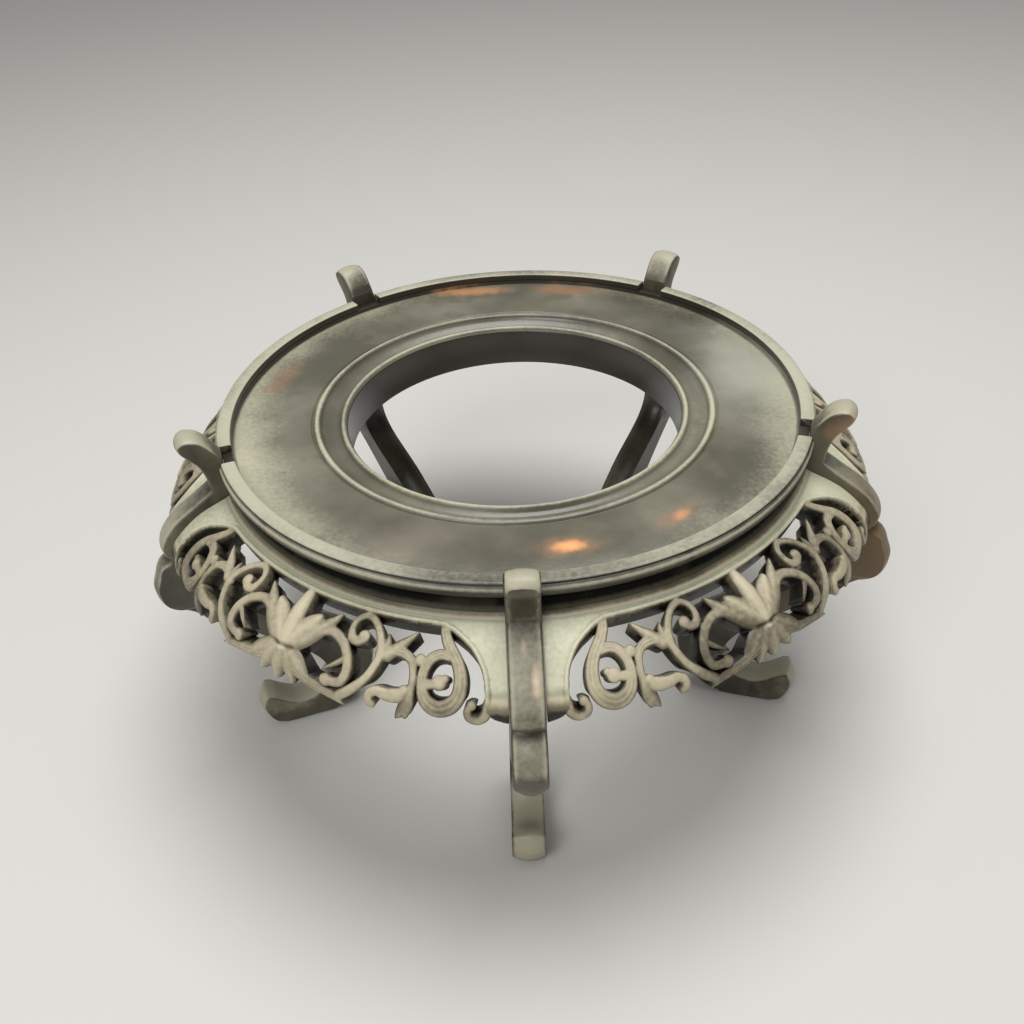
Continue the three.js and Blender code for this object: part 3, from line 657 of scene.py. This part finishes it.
def arched(share):  # how far a round section drops
    return 1 - np.sqrt(1 - relief["round"] * share)


def ribbonField(along, down, kind, rise, points):  # the inside distance and the height of one carved ribbon
    line = np.array(throughPoints(points, relief["ribbonSteps"]))
    line[:, 2] += np.where(line[:, 2] > relief["gainAbove"], relief["ribbonGain"], 0)
    inside = np.full(along.shape, -farAway)
    across = half = np.zeros(along.shape)
    for start, end in zip(line[:-1], line[1:]):
        share, gap = nearestOn(start, end, along, down)
        wide = (start[2] + share * (end[2] - start[2])) / 2
        nearer = wide - gap > inside
        inside = np.where(nearer, wide - gap, inside)
        across = np.where(nearer, gap / np.maximum(wide, relief["thinnest"]), across)
        half = np.where(nearer, wide, half)
    flat = np.clip(across, 0, 1)
    crown = np.minimum(relief["crownShare"] * half, relief["crownMost"])
    if kind == "leaf":
        return inside, rise - crown * (relief["leafSlope"] * flat + relief["leafEdge"] * flat ** 3)
    height = rise - crown * arched(flat ** 3)
    if kind == "groove":
        groove = bell(flat, *relief["grooveAt"]) * smoothStep(half, *relief["grooveWide"])
        height -= relief["grooveDepth"] * groove
    return inside, height


frameArch = throughPoints(apron["arch"], apron["archSteps"])
frameFlank = throughPoints([frameArch[-1], *apron["flank"]], apron["flankSteps"])[1:]
frameEdge = [np.array(apron["archStart"], float)] + frameArch + frameFlank
frameOutline = frameEdge + [np.array(corner, float) for corner in apron["corners"]]


def frameField(along, down):  # the smooth shoulder and flank, with the raised lip along the arch
    gap = np.full(along.shape, farAway)
    for start, end in zip(frameEdge[:-1], frameEdge[1:]):
        gap = np.minimum(gap, nearestOn(start, end, along, down)[1])
    within = np.zeros(along.shape, bool)
    for start, end in zip(frameOutline, frameOutline[1:] + frameOutline[:1]):
        crosses = (start[1] > down) != (end[1] > down)
        drop = end[1] - start[1] if end[1] != start[1] else 1e-9
        within ^= crosses & (along < start[0] + (down - start[1]) * (end[0] - start[0]) / drop)
    inside = np.where(within, gap, -gap)
    half = relief["lipWidth"] / 2
    lip = np.sqrt(np.clip(1 - ((inside - half) / half) ** 2, 0, 1))
    fade = 1 - smoothStep(down, *relief["lipFade"])
    quirk = bell(inside, relief["lipWidth"] + relief["quirkInset"], relief["quirkWidth"])
    height = (relief["lipRise"] * lip - relief["quirkDepth"] * quirk) * fade
    return inside, height - relief["edgeDrop"] * np.exp(-inside.clip(0) / relief["edgeWidth"]) * (1 - lip)


def carving(along, down):  # all of it: the inside distance and the highest relief at each place
    along = np.abs(along)
    inside, height = frameField(along, down)
    height = np.where(inside > 0, height, relief["least"])
    for kind, rise, points in ribbons:
        ribbonIn, ribbonHeight = ribbonField(along, down, kind, rise, points)
        inside = np.maximum(inside, ribbonIn)
        height = np.where(ribbonIn > -relief["overlap"], np.maximum(height, ribbonHeight), height)
    for centre, level, radius, rise in knobs:
        gap = np.hypot(along - centre, down - level)
        inside = np.maximum(inside, radius - gap)
        dome = rise - relief["knobDrop"] * arched(np.clip(gap / radius, 0, 1) ** 2)
        height = np.where(gap < radius + relief["overlap"], np.maximum(height, dome), height)
    crease = bell(down + relief["creaseBend"] * along ** 2, relief["creaseLevel"], relief["creaseWidth"])
    height = height - relief["creaseDepth"] * crease * (1 - smoothStep(along, *relief["creaseFade"]))
    return inside, np.maximum(height, relief["least"])


profileLine = np.array(throughPoints([[radius, rimTop - depth] for radius, depth in apron["profile"]],
                                     apron["profileSteps"]))
profileRun = np.gradient(profileLine, axis=0)
profileRun /= np.hypot(profileRun[:, 0], profileRun[:, 1])[:, None]
profileLength = np.concatenate([[0], np.cumsum(np.hypot(*np.diff(profileLine, axis=0).T))])


def onProfile(down, out):  # radius and level at a length down the profile and a height off its face
    radius, level, runOut, runUp = (np.interp(down, profileLength, column)
                                    for column in (*profileLine.T, *profileRun.T))
    return radius - runUp * out, level + runOut * out


def widest(radius):  # the angle from the panel's middle to the neighbouring leg's side
    return sector / 2 - np.arcsin(apron["legReach"] / radius)


def trueAlong(share, down):  # a share of the panel's half width, as a length
    return share * widest(onProfile(down, 0)[0]) * apron["carvingRadius"]


def panelGrid(size):  # the flat grid without what is pierced, and each corner's share and length down
    span = 2 * widest(size["carvingRadius"]) * size["carvingRadius"]
    shape = bmesh.new()
    bmesh.ops.create_grid(shape, x_segments=round(span / size["cell"]),
                          y_segments=round(size["down"] / size["cell"]), size=0.5)
    x, y, _ = np.array([vert.co for vert in shape.verts]).T
    share, down = x / x.max(), (y.max() - y) / np.ptp(y) * size["down"]
    label = shape.verts.layers.int.new("label")
    for vert in shape.verts:
        vert[label] = vert.index
    corners = np.array([[vert.index for vert in face.verts] for face in shape.faces])
    downMiddle = down[corners].mean(1)
    middle = carving(trueAlong(share[corners].mean(1), downMiddle), downMiddle)[0]
    shape.faces.ensure_lookup_table()
    bmesh.ops.delete(shape, geom=[shape.faces[i] for i in np.flatnonzero(middle < 0)], context="FACES")
    while True:  # cells that touch only at a corner would leave a pinched point
        pinched = {vert.link_faces[0] for vert in shape.verts if len(vert.link_faces) == 2
                   and not set(vert.link_faces[0].edges) & set(vert.link_faces[1].edges)}
        if not pinched:
            return shape, share, down, label
        bmesh.ops.delete(shape, geom=list(pinched), context="FACES")


def snapToOutline(shape, share, down, label, size):  # the grid's edge moves onto the carved outline
    marks = np.array([vert[label] for vert in shape.verts if vert.is_boundary and down[vert[label]] > tolerance])
    atSide = np.isclose(np.abs(share[marks]), 1, atol=tolerance)
    probe, most = size["snapProbe"], size["snapMost"]
    for _ in range(size["snapRounds"]):
        deep = down[marks]
        along = trueAlong(share[marks], deep)
        slopeAlong = (carving(along + probe, deep)[0] - carving(along - probe, deep)[0]) / (2 * probe)
        slopeDown = (carving(along, deep + probe)[0] - carving(along, deep - probe)[0]) / (2 * probe)
        slopeAlong = np.where(atSide, 0, slopeAlong)
        steep = np.maximum(slopeAlong ** 2 + slopeDown ** 2, size["snapSteepLeast"])
        pace = -carving(along, deep)[0] / steep
        share[marks] += np.clip(pace * slopeAlong, -most, most) / trueAlong(1, deep)
        down[marks] = np.clip(deep + np.clip(pace * slopeDown, -most, most), 0, size["down"] + most)


panelLightAndWearSettings = {
    # the panel's back and its cut edges take painted shade; the frame takes painted sheen, turned down to painted
    # shade at its top and bottom
    "back": (-9, -0.2), "base": 0.15, "raised": 0.6, "raisedReach": (-1.9, 0.7), "crest": 0.25,
    "crestReach": (0.4, 1.3), "edge": 0.3, "edgeWidth": 0.35, "frameInside": 0.5, "frameAbove": -0.8,
    "frame": 1.6, "frameTop": 1.3, "frameTopReach": (7, 1.5), "frameFoot": 1.9, "frameFootReach": (33, 50),
}


def panelWearAndLight(share, down, out, wornAndPaintedLight):
    along = trueAlong(share, down)
    # darker on the lower parts of the relief as painted shade, paler up on the raised relief and its crests as
    # dust and wear
    wear = wornAndPaintedLight["base"] + wornAndPaintedLight["raised"] * smoothStep(out, *wornAndPaintedLight["raisedReach"])
    wear += wornAndPaintedLight["crest"] * smoothStep(out, *wornAndPaintedLight["crestReach"])
    # painted shade along the cut edges of the piercings
    wear -= wornAndPaintedLight["edge"] * np.exp(-carving(along, down)[0].clip(0) / wornAndPaintedLight["edgeWidth"])
    # painted shade on the back of the panel
    backFrom, backShade = wornAndPaintedLight["back"]
    wear = np.where(out < backFrom, backShade, wear)
    # painted sheen on the smooth shoulder and flank, with painted shade near the waist at the top and towards the
    # bottom
    sheenAndShade = wornAndPaintedLight["frame"] - wornAndPaintedLight["frameTop"] * smoothStep(down, *wornAndPaintedLight["frameTopReach"])
    sheenAndShade -= wornAndPaintedLight["frameFoot"] * smoothStep(down, *wornAndPaintedLight["frameFootReach"])
    onFrame = (frameField(np.abs(along), down)[0] > wornAndPaintedLight["frameInside"]) & (out > wornAndPaintedLight["frameAbove"])
    return np.where(onFrame, sheenAndShade, wear)


def carvedPanel(size):
    shape, share, down, label = panelGrid(size)
    snapToOutline(shape, share, down, label, size)
    height = carving(trueAlong(share, down), down)[1]
    for vert in shape.verts:
        k = vert[label]
        vert.co = (share[k], down[k], height[k])
    pulled = bmesh.ops.extrude_face_region(shape, geom=shape.faces[:])
    for item in pulled["geom"]:
        if isinstance(item, bmesh.types.BMVert):
            item.co.z = -size["thickness"]
    share, down, out = np.array([vert.co for vert in shape.verts]).T
    radius, level = onProfile(down, out)
    radius, level = np.maximum(radius, size["innerRadius"]), np.minimum(level, size["top"])
    for vert, r, a, z in zip(shape.verts, radius, share * widest(radius), level):
        vert.co = (r * math.cos(a), r * math.sin(a), z)
    turnOutwards(shape)
    return shape, panelWearAndLight(share, down, out, panelLightAndWearSettings)


panel, panelLightAndWearValues = carvedPanel(apron)
loose = sum(1 for edge in panel.edges if len(edge.link_faces) != 2)
panelMesh = meshOf(panel, "panel")
print("panel carved:", len(panelMesh.polygons), "faces,", loose, "open edges")
for k in range(legCount):
    mesh = panelMesh.copy()
    mesh.transform(Matrix.Rotation(frontAngle + sector * (k + 0.5), 4, "Z"))
    keepMesh(mesh, f"carved_apron_{k + 1}", [f"apron_{k + 1}"], apronWood, panelLightAndWearValues,
             apron["crease"])
print("aprons bent round the stand")


# Floor, light and camera

studio = {"floorColour": (216, 214, 208), "floorRoughness": 0.8, "floorReach": 9.0, "skyColour": (1, 1, 1, 1),
          "skyStrength": 0.28}
ground = bmesh.new()
bmesh.ops.create_grid(ground, x_segments=1, y_segments=1, size=studio["floorReach"])
groundMesh = meshOf(ground, "studio floor")
floorMaterial, _, floorShader = newMaterial("studio floor")
floorShader.inputs["Base Color"].default_value = fromScreen(*studio["floorColour"])
floorShader.inputs["Roughness"].default_value = studio["floorRoughness"]
groundMesh.materials.append(floorMaterial)
groundPiece = bpy.data.objects.new("studio_floor", groundMesh)
bpy.context.scene.collection.objects.link(groundPiece)

world = bpy.data.worlds.new("studio")
world.use_nodes = True
sky = world.node_tree.nodes["Background"]
sky.inputs["Color"].default_value = studio["skyColour"]
sky.inputs["Strength"].default_value = studio["skyStrength"]
bpy.context.scene.world = world


def softLight(name, place, aim, size, power):
    lamp = bpy.data.lights.new(name, "AREA")
    lamp.shape = "DISK"
    lamp.size = size
    lamp.energy = power
    holder = bpy.data.objects.new(name, lamp)
    facing = (Vector(aim) - Vector(place)).to_track_quat("-Z", "Y")
    holder.matrix_world = Matrix.Translation(place) @ facing.to_matrix().to_4x4()
    bpy.context.scene.collection.objects.link(holder)
    return holder


softLight("overhead", (0.1, 0.1, 1.7), (0, 0, 0.15), 1.2, 21)
softLight("front fill", (-0.7, -1.4, 1.5), (0, 0, 0.12), 1.0, 13)

view = {"distance": 3.1966, "rise": 1.8762, "yaw": -0.0079, "pitch": 0.6406, "roll": -0.0505, "unit": 0.152,
        "focal": 1080.0, "pixels": 1024, "sensor": 36, "clipEnd": 50}
cosYaw, cosPitch, cosRoll = (math.cos(view[key]) for key in ("yaw", "pitch", "roll"))
sinYaw, sinPitch, sinRoll = (math.sin(view[key]) for key in ("yaw", "pitch", "roll"))
forward = Vector((sinYaw * cosPitch, cosYaw * cosPitch, -sinPitch))
level = Vector((cosYaw, -sinYaw, 0))
upward = level.cross(forward)
right = cosRoll * level + sinRoll * upward
top = -sinRoll * level + cosRoll * upward
lens = bpy.data.cameras.new("camera")
lens.sensor_width = view["sensor"]
lens.lens = view["focal"] * view["sensor"] / view["pixels"]
lens.clip_end = view["clipEnd"]
camera = bpy.data.objects.new("camera", lens)
turn = Matrix((right, top, -forward)).transposed().to_4x4()
stand = axisPlace + Vector((0, -view["distance"] * view["unit"],
                            rimTop * millimetre + view["rise"] * view["unit"]))
camera.matrix_world = Matrix.Translation(stand) @ turn
bpy.context.scene.collection.objects.link(camera)
bpy.context.scene.camera = camera
bpy.context.scene.view_settings.view_transform = "Standard"
print("studio ready")
